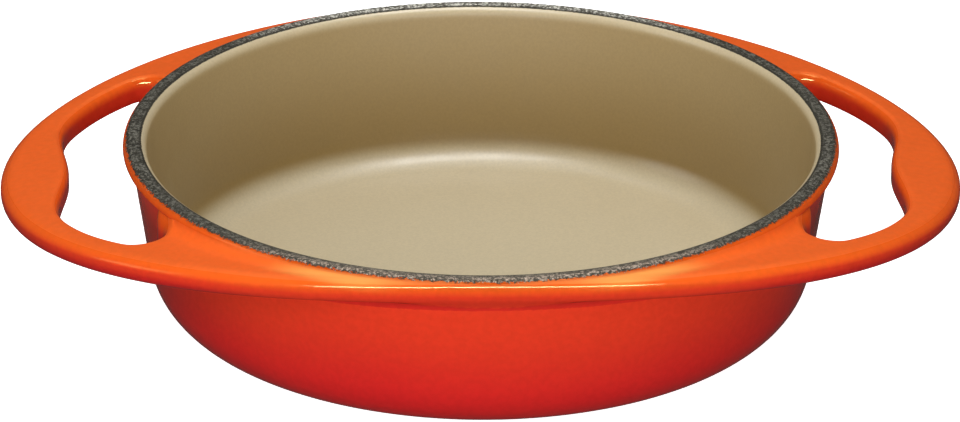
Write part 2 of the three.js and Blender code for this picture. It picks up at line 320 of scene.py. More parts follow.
def base_corner(bowl):
    """Middle of the outer corner's arc, and its angle where the base coat ends."""
    middle = corner_centre(bowl, bowl.mouth_radius + bowl.wall, bowl.lean, 0, bowl.base_corner)
    return middle, -math.acos(bowl.base_margin / bowl.base_corner)


def bead_face(bowl):
    """Radius of the bead's upright face."""
    return bowl.mouth_radius + bowl.band_width + bowl.bead_overhang


def bead_shoulder(bowl):
    """Middle of the bead's shoulder arc, and its angle where the dark band begins."""
    middle = bead_face(bowl) - bowl.bead_top
    split = math.acos((bowl.mouth_radius + bowl.band_width - middle) / bowl.bead_top)
    return (middle, bowl.height - bowl.bead_top), split


def lip_arc(bowl):
    """Middle of the lip's arc, and its angle where the dark band begins."""
    height = bowl.height - bowl.lip_radius
    wall = wall_radius(bowl, bowl.mouth_radius - bowl.lip_set, bowl.inside_lean, height)
    middle = wall + bowl.lip_radius / math.cos(bowl.inside_lean)
    return (middle, height), math.pi - math.acos((middle - bowl.mouth_radius) / bowl.lip_radius)


def outside_profile(bowl):
    """From the base coat's edge round the base corner, up the wall, and round the bead to the dark band."""
    middle, first = base_corner(bowl)
    corner = arc(*middle, bowl.base_corner, first, -bowl.lean, steps=18)
    under = bowl.height - bowl.bead_height
    root_height = under - bowl.bead_root
    root = outside_wall(bowl, root_height) + bowl.bead_root / math.cos(bowl.lean)
    fillet = arc(root, root_height, bowl.bead_root, math.pi - bowl.lean, math.pi / 2, steps=6)
    wall = np.linspace(corner[-1], fillet[0], num=16)[1:-1]
    edge = bead_face(bowl) - bowl.bead_under, under + bowl.bead_under
    below = arc(*edge, bowl.bead_under, -math.pi / 2, 0, steps=6)
    shoulder, split = bead_shoulder(bowl)
    above = arc(*shoulder, bowl.bead_top, 0, split, steps=8)
    return np.concatenate([corner, wall, fillet, below, above])


def band_profile(bowl):
    """From the bead's shoulder in over the level band to its inner edge on the lip."""
    shoulder, first = bead_shoulder(bowl)
    outer = arc(*shoulder, bowl.bead_top, first, math.pi / 2, steps=4)
    lip, split = lip_arc(bowl)
    inner = arc(*lip, bowl.lip_radius, math.pi / 2, split, steps=5)
    flat = np.linspace(outer[-1], inner[0], num=6)[1:-1]
    return np.concatenate([outer, flat, inner])


def inside_profile(bowl):
    """From the lip down the leaning wall and round the corner to the middle of the floor."""
    middle, split = lip_arc(bowl)
    lip = arc(*middle, bowl.lip_radius, split, math.pi - bowl.inside_lean, steps=10)
    mouth = bowl.mouth_radius - bowl.lip_set
    foot = corner_centre(bowl, mouth, bowl.inside_lean, bowl.floor, bowl.inside_corner)
    corner = arc(*foot, bowl.inside_corner, -bowl.inside_lean, -math.pi / 2, steps=20)
    wall = np.linspace(lip[-1], corner[0], num=14)[1:-1]
    floor = np.linspace(corner[-1], (0, bowl.floor), num=20)[1:]
    return np.concatenate([lip, wall, corner, floor])


def base_profile(bowl):
    """From the middle of the flat underside out to where the base corner begins to rise."""
    middle, last = base_corner(bowl)
    flat = np.linspace((0, 0), (middle[0], 0), num=18)[:-1]
    return np.concatenate([flat, arc(*middle, bowl.base_corner, -math.pi / 2, last, steps=3)])


# Handle plate

HALVINGS = 50  # steps of the search for the opening's corner
ARM_POINTS, CORNER_POINTS, CURL_POINTS = 97, 30, 24  # stations along the opening's edge
CURL_END = 0.0009  # the curl ends this far outside the mouth radius, in the wall
CURL_FADE = 0.9  # share of the curl over which the grip's roundings narrow
CURL_NARROW = 0.85, 0.7  # how much they narrow, above and below
TOP_ROOT, UNDER_ROOT = 0.45, 0.5  # shares of the wall at which the plate's hidden edges lie
LEAST_WEB, LEAST_ROOT = 0.0004, 0.0003  # least steps from the contact out to the line and in to the wall
UPPER_ROWS, LOWER_ROWS = (20, 12), (12, 8)  # rows within and beyond the opening's corner
HORN_POINTS, OVAL_POINTS = 73, 400  # stations of the oval beside the horn, and to measure its length
CORNER_LEAD = math.radians(6)  # the oval's station opposite the opening's corner lies this far beyond it
EDGE_STEPS = 10  # steps of a rounding

# Warmth of the outside, from 0 for crimson to 1 for orange
# Warmth lost on the plate's underside and down its edges is partly the flame gradient and partly painted
# shade on faces turned from the light
TOP_WARMTH, UNDER_WARMTH, ROOT_WARMTH = 1.0, 0.2, 0.5
GRIP_COOL = 0.65, 0.85  # warmth lost down the grip's edge, and over which share of the thickness
SIDE_COOL, TIP_COOL = (0.60, 0.95), (0.88, 0.72)  # the same on the outer edge, at the sides and at the tips
TIP_FROM, TIP_TO = 0.060, 0.125  # distances across between which that changes
FOOT_WARMTH, WALL_WARMTH, BEAD_WARMTH = 0.03, 0.52, 0.42  # at the foot, and gained up the wall and the bead
WALL_END, BEAD_END = 0.008, 0.0015  # how far below the rim those gains end


def plate_top(bowl, handle, x):
    """Height of the plate's upper face: rim height less the step, less droop times |x / tip| to its power."""
    return bowl.height - handle.below_rim - handle.droop * np.abs(x / handle.tip) ** handle.droop_power


def plate_share(handle, x):
    """Share of the plate's full thickness at the plan's x, which grows from the sides to the handles."""
    return handle.side_share + (1 - handle.side_share) * smooth(np.abs(x), handle.under_from, handle.under_to)


def outer_oval(bowl, handle, angle):
    """Point and outward normal of the oval |x/a|^n + |y/b|^n = 1 at a polar angle."""
    sides = np.array([handle.tip, bead_face(bowl) + handle.side_reach])
    way = np.stack([np.cos(angle), np.sin(angle)], -1)
    way[np.abs(way) < TINY] = 0
    power = handle.fullness
    radius = (np.abs(way / sides) ** power).sum(-1, keepdims=True) ** (-1 / power)
    normal = np.abs(way) ** (power - 1) / sides**power
    return radius * way, normal / np.linalg.norm(normal, axis=-1, keepdims=True)


def bar_edge(handle, angle):
    """Inner edge of the bar: a fuller oval, less a thumb rest that rises as cos squared along y."""
    sides = np.array([handle.tip - handle.bar_width, handle.half_span])
    way = np.stack([np.cos(angle), np.sin(angle)], -1)
    power = handle.opening_fullness
    point = way * (np.abs(way / sides) ** power).sum(-1, keepdims=True) ** (-1 / power)
    share = np.minimum(np.abs(point[..., 1]) / handle.thumb_half, 1)
    point[..., 0] -= handle.thumb_rise * np.cos(share * np.pi / 2) ** 2
    return point


def bar_normal(handle, angle):
    """Direction out of the opening, square to the bar's inner edge, from a small central difference."""
    step = 1e-5
    along = bar_edge(handle, angle + step) - bar_edge(handle, angle - step)
    along /= np.linalg.norm(along, axis=-1, keepdims=True)
    return np.stack([along[..., 1], -along[..., 0]], -1)


def opening_edge(bowl, handle):
    """Quarter of the opening's narrowest outline: the bar and arm, the corner arc, then a curl into the wall.

    The curl leaves the arc where it runs along the bead and draws in with the square of its length. Returns
    the points, the normals into the metal, the corner's middle index, and how far each point of the curl has
    gone, from 0 to 1.
    """
    clear = bead_face(bowl) + handle.corner_reach

    def corner(angle):
        return bar_edge(handle, angle) - handle.corner_radius * bar_normal(handle, angle)

    low, high = 0.0, np.pi / 2
    for _ in range(HALVINGS):
        middle = (low + high) / 2
        if np.linalg.norm(corner(middle)) > clear + handle.corner_radius:
            low = middle
        else:
            high = middle
    centre = corner(low)
    arm_angles = np.linspace(0, low, ARM_POINTS)
    arm = bar_edge(handle, arm_angles)
    arm_normals = bar_normal(handle, arm_angles)
    arm[0, 1] = 0
    arm_normals[0] = (1, 0)
    start = math.atan2(arm_normals[-1, 1], arm_normals[-1, 0])
    bearing = math.atan2(centre[1], centre[0])
    round_angles = np.linspace(start, bearing + math.pi, CORNER_POINTS + 1)[1:]
    round_normals = np.stack([np.cos(round_angles), np.sin(round_angles)], -1)
    shares = np.linspace(0, 1, CURL_POINTS + 1)[1:]
    turn_back = bearing - handle.curl / clear * shares
    way = np.stack([np.cos(turn_back), np.sin(turn_back)], -1)
    draw_in = clear - bowl.mouth_radius - CURL_END
    curl = (clear - draw_in * shares**2)[:, None] * way
    ahead = np.stack([way[:, 1], -way[:, 0]], -1) * handle.curl - way * (2 * draw_in * shares)[:, None]
    ahead /= np.linalg.norm(ahead, axis=1, keepdims=True)
    curl_normals = np.stack([ahead[:, 1], -ahead[:, 0]], -1)
    points = np.concatenate([arm, centre + handle.corner_radius * round_normals, curl])
    normals = np.concatenate([arm_normals, round_normals, curl_normals])
    progress = np.concatenate([np.zeros(ARM_POINTS + CORNER_POINTS), shares])
    return points, normals, ARM_POINTS + CORNER_POINTS // 2, progress


def bead_blend(bowl, handle, radius, top):
    """Rise of the fillet between the plate and the bead, and the radius where it touches the bead.

    A ball of the blend radius R rolls on the plate and against the bead's face or shoulder. Below it the
    surface stands R - sqrt(R^2 - d^2) above the plate, d being how far a point lies inside the ball's middle.
    """
    ball = handle.blend
    (middle, level), _ = bead_shoulder(bowl)
    apart = bowl.bead_top + ball
    short = 1e-6  # keeps the root's value above 0
    above = np.clip(top + ball - level, 0, apart - short)
    reach = np.sqrt(apart**2 - above**2)
    centre = middle + reach
    contact = middle + bowl.bead_top * reach / apart
    inside = np.clip(centre - radius, 0, np.minimum(centre - contact, ball))
    return ball - np.sqrt(ball**2 - inside**2), contact


def wall_blend(bowl, handle, radius, bottom):
    """Depth of the rolling ball's fillet under the plate, and the radius where it touches the wall."""
    ball = handle.under_blend
    centre = outside_wall(bowl, bottom - ball) + ball / math.cos(bowl.lean)
    contact = centre - ball * math.cos(bowl.lean)
    inside = np.clip(centre - radius, 0, centre - contact)
    return ball - np.sqrt(ball**2 - inside**2), contact


def plate_level(bowl, handle, plan, drop):
    """Height of the plate's skin at a plan point, drop below its upper face, with both fillets blended in."""
    radius = np.linalg.norm(plan, axis=-1)
    top = plate_top(bowl, handle, plan[..., 0])
    share = drop / handle.thickness
    thin = plate_share(handle, plan[..., 0])
    rise = bead_blend(bowl, handle, radius, top)[0]
    sink = wall_blend(bowl, handle, radius, top - handle.thickness * thin)[0]
    return top - drop * thin + rise * (1 - share) - sink * share


def lift(bowl, handle, plan, drop):
    """Plan points with their heights."""
    drop = np.broadcast_to(drop, plan.shape[:-1])
    return np.concatenate([plan, plate_level(bowl, handle, plan, drop)[..., None]], -1)


def radial_rows(angle, hidden, contact, outer, count):
    """Points on radial lines: one hidden in the wall, then from the contact outwards, spaced as squares."""
    start = np.minimum(contact, outer - LEAST_WEB)
    first = np.minimum(hidden, start - LEAST_ROOT)
    share = np.linspace(0, 1, count) ** 2
    radius = np.concatenate([first[:, None], start[:, None] + (outer - start)[:, None] * share], 1)
    way = np.stack([np.cos(angle), np.sin(angle)], -1)
    return radius[..., None] * way[:, None]


def plate_skin(bowl, handle, edge, turns, inset, outset, upper):
    """Upper or lower skin of a quarter of the plate as three grids that meet at the opening's corner.

    The horn runs from the corner to the side of the dish, the arm from the tip to the corner, and the web
    from the corner into the wall. The arm's lines join the opening's edge, moved out by outset, to the oval's
    edge, moved in by inset. The horn's and the web's lines are radial up to the corner's depth.
    """
    points, normals, corner, _ = edge
    drop = 0 if upper else handle.thickness
    rows, spans = UPPER_ROWS if upper else LOWER_ROWS
    rim = points + normals * outset[:, None]
    key = rim[corner]
    key_angle = math.atan2(key[1], key[0])
    oval, oval_normal = outer_oval(bowl, handle, turns)
    rim_line = oval - oval_normal * inset[:, None]
    border = rim_line[: len(turns) - corner][::-1]
    angle_in = np.linspace(key_angle, np.pi / 2, len(border))

    def contact_at(angle):
        face = bead_face(bowl)
        top = plate_top(bowl, handle, face * np.cos(angle))
        if upper:
            hidden = np.full_like(angle, bowl.mouth_radius + bowl.wall * TOP_ROOT)
            return bead_blend(bowl, handle, face, top)[1], hidden
        bottom = top - handle.thickness * plate_share(handle, face * np.cos(angle))
        hidden = outside_wall(bowl, bottom) - bowl.wall * UNDER_ROOT
        return wall_blend(bowl, handle, face, bottom)[1], hidden

    contact, hidden = contact_at(angle_in)
    reach = np.linalg.norm(border, axis=1)
    share = (np.linalg.norm(key) - hidden[0]) / (reach[0] - hidden[0])
    middle = hidden + share * (reach - hidden)
    inner = radial_rows(angle_in, hidden, contact, middle, rows)
    spread = np.linspace(0, 1, spans + 1)[1:, None]
    outer = inner[:, -1:] + (border - inner[:, -1])[:, None] * spread
    horn = np.concatenate([inner, outer], 1)
    horn[-1, :, 0] = 0

    arm_edge = rim[: corner + 1]
    arm_border = rim_line[len(turns) - corner - 1 :][::-1]
    arm = arm_edge[:, None] + (arm_border - arm_edge)[:, None] * np.concatenate([[[0.0]], spread])

    web_edge = rim[corner:]
    web_angle = np.arctan2(web_edge[:, 1], web_edge[:, 0])
    contact, hidden = contact_at(web_angle)
    web = radial_rows(web_angle, hidden, contact, np.linalg.norm(web_edge, axis=1), rows)
    grids = [lift(bowl, handle, plan, drop) for plan in (horn, arm, web)]
    root = np.concatenate([grids[0][::-1, 0], grids[2][1:, 0]])
    return grids, root


def oval_turns(bowl, handle, edge):
    """Polar angles of the oval's stations, from the side of the dish to the tip.

    Those opposite the arm share out the oval's length as the opening's edge shares out its own.
    """
    points, _, corner, _ = edge

    def gone(line):
        lengths = np.concatenate([[0], np.cumsum(np.linalg.norm(np.diff(line, axis=0), axis=1))])
        return lengths / lengths[-1]

    last = math.atan2(points[corner, 1], points[corner, 0]) + CORNER_LEAD
    fine = np.linspace(0, last, OVAL_POINTS)
    arm_turns = np.interp(gone(points[: corner + 1]), gone(outer_oval(bowl, handle, fine)[0]), fine)
    return np.concatenate([np.linspace(np.pi / 2, last, HORN_POINTS), arm_turns[-2::-1]])


def edge_rows():
    """Section of a rounded edge from top to bottom as rows of shares of its four sizes and of the thickness.

    Both roundings are quarter ellipses. At angle a the upper one is set back by its width times 1 - sin a and
    has dropped by its depth times 1 - cos a. The lower one is set back by its width times 1 - cos a and
    stands above the underside by its depth times 1 - sin a.
    """
    angle = np.linspace(0, np.pi / 2, EDGE_STEPS + 1)
    none = np.zeros_like(angle)
    upper = np.stack([1 - np.sin(angle), 1 - np.cos(angle), none, none, none], -1)
    lower = np.stack([none, none, 1 - np.cos(angle), np.sin(angle) - 1, none + 1], -1)
    return np.concatenate([upper, lower])


def edge_strip(bowl, handle, line, upper, lower, cool):
    """Grid of a rounded edge along a line of (points, normals into the metal), with its outward direction.

    Upper and lower are the roundings' widths and depths at each point, and cool is how much warmth is lost at
    the underside, and over which share of the thickness.
    """
    points, normals = line
    rows = edge_rows()
    setback = rows[:, 0] * upper[0][:, None] + rows[:, 2] * lower[0][:, None]
    drop = rows[:, 1] * upper[1][:, None] + rows[:, 3] * lower[1][:, None] + rows[:, 4] * handle.thickness
    plan = points[:, None] + normals[:, None] * setback[..., None]
    plan[np.abs(plan) < TINY] = 0
    outward = -np.concatenate([normals, np.zeros((len(points), 1))], 1)[:, None]
    warmth = 1 - cool[0] * smooth(drop, 0, handle.thickness * cool[1])
    return lift(bowl, handle, plan, drop), outward, warmth


def plate_quarter(bowl, handle):
    """Grids of the quarter of the plate at positive x and y, each with its outward direction and warmth."""
    edge = opening_edge(bowl, handle)
    points, normals, _, progress = edge
    fade = smooth(progress, 0, CURL_FADE)
    grip_upper = handle.grip_round * (1 - CURL_NARROW[0] * fade), np.full(len(points), handle.grip_depth)
    grip_lower = handle.grip_under * (1 - CURL_NARROW[1] * fade), np.full(len(points), handle.grip_under)
    turns = oval_turns(bowl, handle, edge)
    oval, oval_normal = outer_oval(bowl, handle, turns)
    widen = smooth(oval[:, 0], handle.top_from, handle.top_to)
    rim_upper = (
        handle.top_side + (handle.top_width - handle.top_side) * widen,
        handle.top_side + (handle.top_depth - handle.top_side) * widen,
    )
    widen = smooth(oval[:, 0], handle.under_from, handle.under_to)
    under = handle.under_side + (handle.under_width - handle.under_side) * widen
    rim_lower = under, np.full(len(turns), handle.under_depth)
    upper, upper_root = plate_skin(bowl, handle, edge, turns, rim_upper[0], grip_upper[0], True)
    lower, lower_root = plate_skin(bowl, handle, edge, turns, rim_lower[0], grip_lower[0], False)
    blocks = [(grid, UP, TOP_WARMTH) for grid in upper]
    blocks += [(grid, -UP, UNDER_WARMTH) for grid in lower]
    tip = smooth(oval[:, :1], TIP_FROM, TIP_TO)
    rim_cool = [side + (end - side) * tip for side, end in zip(SIDE_COOL, TIP_COOL)]
    blocks.append(edge_strip(bowl, handle, (oval, -oval_normal), rim_upper, rim_lower, rim_cool))
    blocks.append(edge_strip(bowl, handle, (points, normals), grip_upper, grip_lower, GRIP_COOL))
    root = np.stack([upper_root, lower_root], 1)
    inward = -np.concatenate([upper_root[:, :2], np.zeros((len(root), 1))], 1)[:, None]
    blocks.append((root, inward, ROOT_WARMTH))
    return blocks


def plate_blocks(bowl, handle):
    """The quarter's grids mirrored across both upright planes."""
    quarter = plate_quarter(bowl, handle)
    blocks = []
    for across in (1, -1):
        for along in (1, -1):
            side = np.array([across, along, 1.0])
            blocks += [(grid * side, outward * side, warmth) for grid, outward, warmth in quarter]
    return blocks


def wall_warmth(bowl, height):
    """Warmth of the turned outside: low at the foot, rising smoothly up the wall and again on the bead."""
    wall = smooth(height, 0.0, bowl.height - WALL_END)
    bead = smooth(height, bowl.height - bowl.bead_height - BEAD_END, bowl.height - BEAD_END)
    return FOOT_WARMTH + WALL_WARMTH * wall + BEAD_WARMTH * bead


# Materials

# Noises of the finishes: scale per metre, detail and, where it isn't 0.5, roughness
NOISES = {
    "flame drift": (18, 3),
    "flame mottle": (420, 3),
    "flame gloss": (60, 3),
    "glaze ripple": (240, 2),
    "sand fleck": (1000, 3, 0.7),
    "sand gloss": (90, 3),
    "sand ripple": (60, 2),
    "slate grain": (1050, 3, 0.75),
    "ragged edge": (900, 5, 0.75),
    "dark line": (800, 2),
    "base scuff": (70, 6, 0.65),
    "base ripple": (260, 2),
    "iron grain": (900, 4, 0.6),
    "floor tone": (3, 2),
}
MIDDLE, WIDE = (0.3, 0.7), (0.25, 0.75)  # where most of a noise's values lie
FALL = 1.0, 0.0  # results of a span that goes down


class Shading:
    """Short ways to add and link nodes of one material."""

    def __init__(self, name):
        self.material = bpy.data.materials.new(name)
        self.material.use_nodes = True
        self.tree = self.material.node_tree
        self.shader = self.tree.nodes["Principled BSDF"]
        self.place = self.add("ShaderNodeTexCoord").outputs["Object"]

    def add(self, kind, **values):
        """A new node with its settings."""
        node = self.tree.nodes.new(kind)
        for key, value in values.items():
            setattr(node, key, value)
        return node

    def fill(self, socket, value):
        """Links a socket to a node's result, or sets it to a number or colour."""
        if isinstance(value, bpy.types.NodeSocket):
            self.tree.links.new(value, socket)
        else:
            socket.default_value = (*value, 1) if socket.type == "RGBA" else value

    def give(self, name, value):
        """Fills one of the shader's own sockets."""
        self.fill(self.shader.inputs[name], value)

    def maths(self, operation, first, second=0.0, clamp=False):
        """Result of an operation on one or two numbers."""
        node = self.add("ShaderNodeMath", operation=operation, use_clamp=clamp)
        self.fill(node.inputs[0], first)
        self.fill(node.inputs[1], second)
        return node.outputs[0]

    def times(self, product, *factors):
        """Product of several numbers."""
        for factor in factors:
            product = self.maths("MULTIPLY", product, factor)
        return product

    def noise(self, name):
        """One of the finishes' noises."""
        node = self.add("ShaderNodeTexNoise")
        self.fill(node.inputs["Vector"], self.place)
        for socket, value in zip(("Scale", "Detail", "Roughness"), NOISES[name]):
            self.fill(node.inputs[socket], value)
        return node.outputs["Fac"]

    def span(self, value, ends, results=(0.0, 1.0), base=0.0, kind="SMOOTHSTEP"):
        """Goes from one result to the other as a value passes between two ends, counted from a base."""
        node = self.add("ShaderNodeMapRange", interpolation_type=kind, clamp=True)
        sockets = "Value", "From Min", "From Max", "To Min", "To Max"
        for socket, setting in zip(sockets, (value, base + ends[0], base + ends[1], *results)):
            self.fill(node.inputs[socket], setting)
        return node.outputs["Result"]

    def vary(self, name, results=(0.0, 1.0), ends=MIDDLE, kind="SMOOTHSTEP"):
        """Wanders between two results as a noise passes between two ends."""
        return self.span(self.noise(name), ends, results, kind=kind)

    def blend(self, kind, sockets, result, values):
        """Mix node of a kind, its factor and two values filled in."""
        node = self.add("ShaderNodeMix", data_type=kind, clamp_factor=True)
        for socket, value in zip(sockets, values):
            self.fill(node.inputs[socket], value)
        return node.outputs[result]

    def mix(self, share, first, second):
        """Colour between two colours."""
        return self.blend("RGBA", (0, 6, 7), 2, (share, first, second))

    def between(self, share, first, second):
        """Number between two numbers."""
        return self.blend("FLOAT", (0, 2, 3), 0, (share, first, second))

    def scaled(self, colour, factor):
        """Colour times a number."""
        node = self.add("ShaderNodeVectorMath", operation="SCALE")
        self.fill(node.inputs[0], colour)
        self.fill(node.inputs["Scale"], factor)
        return node.outputs[0]

    def ramp(self, value, stops):
        """Colour that eases from stop to stop along a value."""
        node = self.add("ShaderNodeValToRGB")
        self.fill(node.inputs[0], value)
        node.color_ramp.interpolation = "EASE"
        while len(node.color_ramp.elements) < len(stops):
            node.color_ramp.elements.new(0.5)
        for element, (position, colour) in zip(node.color_ramp.elements, stops):
            element.position = position
            element.color = (*colour, 1)
        return node.outputs[0]

    def spot(self):
        """Radius about the dish's axis, place along Y, and height."""
        parts = self.add("ShaderNodeSeparateXYZ")
        self.fill(parts.inputs[0], self.place)
        across, along, height = parts.outputs
        square = self.maths("ADD", self.times(across, across), self.times(along, along))
        return self.maths("SQRT", square), along, height

    def bump(self, height, strength, distance):
        """Raises and sinks the surface by a height."""
        node = self.add("ShaderNodeBump")
        for socket, value in (("Strength", strength), ("Distance", distance), ("Height", height)):
            self.fill(node.inputs[socket], value)
        self.give("Normal", node.outputs[0])


def tinted(colour, factor):
    """Plain colour times a number."""
    return [channel * factor for channel in colour]


FLAME_DRIFT = -0.03, 0.03  # slow change of warmth over the surface
FLAME_MOTTLE = 0.96, 1.04  # fine change of brightness
EMBER_AT = 0.55  # warmth of the ember colour


def flame_colour(shade, colours, warmth):
    """Crimson, ember and orange by warmth, drifting a little over the surface and finely mottled."""
    level = shade.maths("ADD", warmth, shade.vary("flame drift", FLAME_DRIFT), clamp=True)
    stops = (0.0, colours.crimson), (EMBER_AT, colours.ember), (1.0, colours.orange)
    return shade.scaled(shade.ramp(level, stops), shade.vary("flame mottle", FLAME_MOTTLE, WIDE))


SAND_FOOT = 0.0024, 0.0098  # from the floor, where the wall's painted shade sets in
SAND_LIP = -0.0048, -0.0004  # from the rim, where it fades
LIP_FADE = 0.75  # share of it that is gone at the rim
SAND_RISE = 0.016, 0.060  # heights of the low and the high painted shade
SAND_FLECK = 0.95, 1.05  # fine change of brightness


def sand_colour(shade, context, height):
    """Pale sand on the floor and the lip, painted shade of browner, darker sand on the wall, darkest low
    down, with a fine fleck.
    """
    bowl = context.scene.dish_bowl
    colours = context.scene.dish_colours
    wall = shade.span(height, SAND_FOOT, base=bowl.floor)
    lip = shade.span(height, SAND_LIP, (0.0, LIP_FADE), base=bowl.height)
    shaded_brown = shade.mix(shade.span(height, SAND_RISE), colours.shaded_sand_low, colours.shaded_sand_high)
    colour = shade.mix(shade.maths("SUBTRACT", wall, lip, clamp=True), colours.sand, shaded_brown)
    return shade.scaled(colour, shade.vary("sand fleck", SAND_FLECK))


RIM_FRONT, RIM_BACK = (-0.124, -0.085), (0.085, 0.124)  # along Y, between front or back and the sides
GLINT_OUTWARDS = 0.001, 0.004  # from the mouth, where the front's flecks turn pale with painted highlight
FLECK_GRAIN = 0.45, 0.61  # grain that shows as flecks


def slate_grain(shade, context, spot):
    """Grain of the ground coat from a fine noise, and its colour.

    It is near black with grey flecks at the highest grains; both are drawn paler at the front and the back as
    painted highlight, palest outwards at the front.
    """
    colours = context.scene.dish_colours
    radius, along, _ = spot
    grain = shade.noise("slate grain")
    front = shade.span(along, RIM_FRONT, FALL)
    back = shade.span(along, RIM_BACK)
    outwards = shade.span(radius, GLINT_OUTWARDS, base=context.scene.dish_bowl.mouth_radius)
    pale = shade.mix(outwards, colours.slate_glint_in, colours.slate_glint_out)
    fleck = shade.mix(front, shade.mix(back, colours.slate_fleck, colours.slate_glint_back), pale)
    ground = shade.mix(shade.maths("ADD", front, back), colours.slate, colours.slate_glint_ground)
    return grain, shade.mix(shade.span(grain, FLECK_GRAIN), ground, fleck)


RAGGED = -0.0008, 0.0008  # how far the band's outer edge wanders
RAGGED_INSIDE = 0.2  # share of that at its inner edge
BAND_INNER, BAND_OUTER = (-0.0001, 0.0001), (0.0001, 0.0003)  # edges, from the mouth and its outer radius
BAND_TOP = -0.0026, -0.0020  # from the rim, below which nothing is bare
LINE_INNER, LINE_OUTER = (0.0005, 0.0012), (-0.0012, -0.0006)  # dark lines, counted as the edges are
LINE_BREAKS = 0.44, 0.54  # noise that breaks the outer line


def bare_rim(shade, bowl, spot):
    """Share of bare ground coat: 1 between the band's two radii, which a noise shifts to and fro, 0 beyond.

    Also the share of the dark line that the glazes leave along the band's two edges.
    """
    radius, _, height = spot
    outer = bowl.mouth_radius + bowl.band_width
    shift = shade.vary("ragged edge", RAGGED, kind="LINEAR")
    outside = shade.maths("ADD", radius, shift)
    inside = shade.maths("ADD", radius, shade.times(shift, RAGGED_INSIDE))
    bare = shade.times(
        shade.span(inside, BAND_INNER, base=bowl.mouth_radius),
        shade.span(outside, BAND_OUTER, FALL, base=outer),
        shade.span(height, BAND_TOP, base=bowl.height),
    )
    breaks = shade.vary("dark line", ends=LINE_BREAKS)
    outer_line = shade.times(shade.span(outside, LINE_OUTER, base=outer), breaks)
    inner_line = shade.span(inside, LINE_INNER, FALL, base=bowl.mouth_radius)
    return bare, shade.maths("ADD", outer_line, inner_line, clamp=True)


LINE_DEPTH = 0.9  # how dark those lines are
BARE_ROUGHNESS = 0.5
RIM_BUMP = 0.8, 0.0012  # strength and distance


def rim_finish(shade, context, spot, colour, gloss, ripple):
    """Lays the ragged ground coat over a glaze: its colour, its dull face and its grain."""
    bare, line = bare_rim(shade, context.scene.dish_bowl, spot)
    grain, slate = slate_grain(shade, context, spot)
    slate = shade.mix(shade.times(line, LINE_DEPTH), slate, context.scene.dish_colours.slate)
    shade.give("Base Color", shade.mix(bare, colour, slate))
    shade.give("Roughness", shade.between(bare, gloss, BARE_ROUGHNESS))
    shade.bump(shade.between(bare, ripple, grain), *RIM_BUMP)


# Darkening of the bead beside the rim band, with painted shade at the front
DARKEN_NEAR = 0.0, 0.0026  # from the band's outer radius
DARKEN_HIGH = -0.0045, -0.0025  # from the rim
DARKENING = 0.64, 0.80  # brightness left at the front, where painted shade deepens it, and at the sides


def band_darkening(shade, bowl, spot):
    """Factor on the outside glaze: it darkens the bead beside the rim band, more at the front as painted
    shade.
    """
    radius, along, height = spot
    near = shade.span(radius, DARKEN_NEAR, FALL, base=bowl.mouth_radius + bowl.band_width)
    high = shade.span(height, DARKEN_HIGH, base=bowl.height)
    return shade.between(shade.times(near, high), 1.0, shade.span(along, RIM_FRONT, DARKENING))


# Where the painted glint, in amber, lies on the fillet beside the bead
GLINT_FROM, GLINT_TO = (0.0004, 0.0018), (0.0036, 0.0075)  # from the band's outer radius, in and out
GLINT_FRONT, GLINT_SIDE = (-0.1304, -0.1250), (-0.1190, -0.1060)  # the same along Y
GLINT_SHARE = 0.65  # most painted glint
GLINT_HIGH = -0.006, -0.004  # from the rim


def painted_glint(shade, bowl, spot):
    """Share of painted glint, in amber, on the outside glaze beside the bead, left and right of the front."""
    radius, along, height = spot
    outer = bowl.mouth_radius + bowl.band_width
    begins = shade.span(radius, GLINT_FROM, base=outer)
    ring = shade.times(begins, shade.span(radius, GLINT_TO, FALL, base=outer))
    stretch = shade.times(shade.span(along, GLINT_FRONT), shade.span(along, GLINT_SIDE, (GLINT_SHARE, 0.0)))
    return shade.times(ring, stretch, shade.span(height, GLINT_HIGH, base=bowl.height))


FLAME_GLOSS = 0.10, 0.16  # roughness
SATIN_WARMTH, SATIN_RISE = (0.975, 0.998), 0.36  # warmth of the plate's flat top, and how much rougher it is
GLAZE_RIPPLE = 0.06


def flame_enamel(context):
    """Glossy enamel from orange on the handles to crimson at the foot, bare at the rim band's edge.

    The plate's flat top, where the warmth is highest, is satin.
    """
    shade = Shading("flame_enamel")
    bowl = context.scene.dish_bowl
    colours = context.scene.dish_colours
    spot = shade.spot()
    warmth = shade.add("ShaderNodeAttribute", attribute_name="warmth").outputs["Fac"]
    satin = shade.times(shade.span(warmth, SATIN_WARMTH), SATIN_RISE)
    gloss = shade.maths("ADD", shade.vary("flame gloss", FLAME_GLOSS), satin)
    # Painted glint beside the bead, then the darkening beside the band, which is painted shade at the front
    colour = shade.mix(painted_glint(shade, bowl, spot), flame_colour(shade, colours, warmth), colours.glint_amber)
    colour = shade.scaled(colour, band_darkening(shade, bowl, spot))
    rim_finish(shade, context, spot, colour, gloss, shade.times(shade.noise("glaze ripple"), GLAZE_RIPPLE))
    shade.give("Specular Tint", colours.flame_sheen)
    return shade.material


SAND_GLOSS = 0.30, 0.36  # roughness
SAND_RIPPLE, SAND_SPECULAR = 0.03, 0.9


def sand_enamel(context):
    """Satin sand-coloured enamel with a fine fleck, bare at the rim band's edge."""
    shade = Shading("sand_enamel")
    spot = shade.spot()
    colour = sand_colour(shade, context, spot[2])
    ripple = shade.times(shade.noise("sand ripple"), SAND_RIPPLE)
    rim_finish(shade, context, spot, colour, shade.vary("sand gloss", SAND_GLOSS), ripple)
    shade.give("Specular IOR Level", SAND_SPECULAR)
    return shade.material


LAP = 0.45, 0.55  # shares of the band's width between which the sand glaze gives way to the flame
LAP_GLOSS = 0.28, 0.13  # roughness of the two


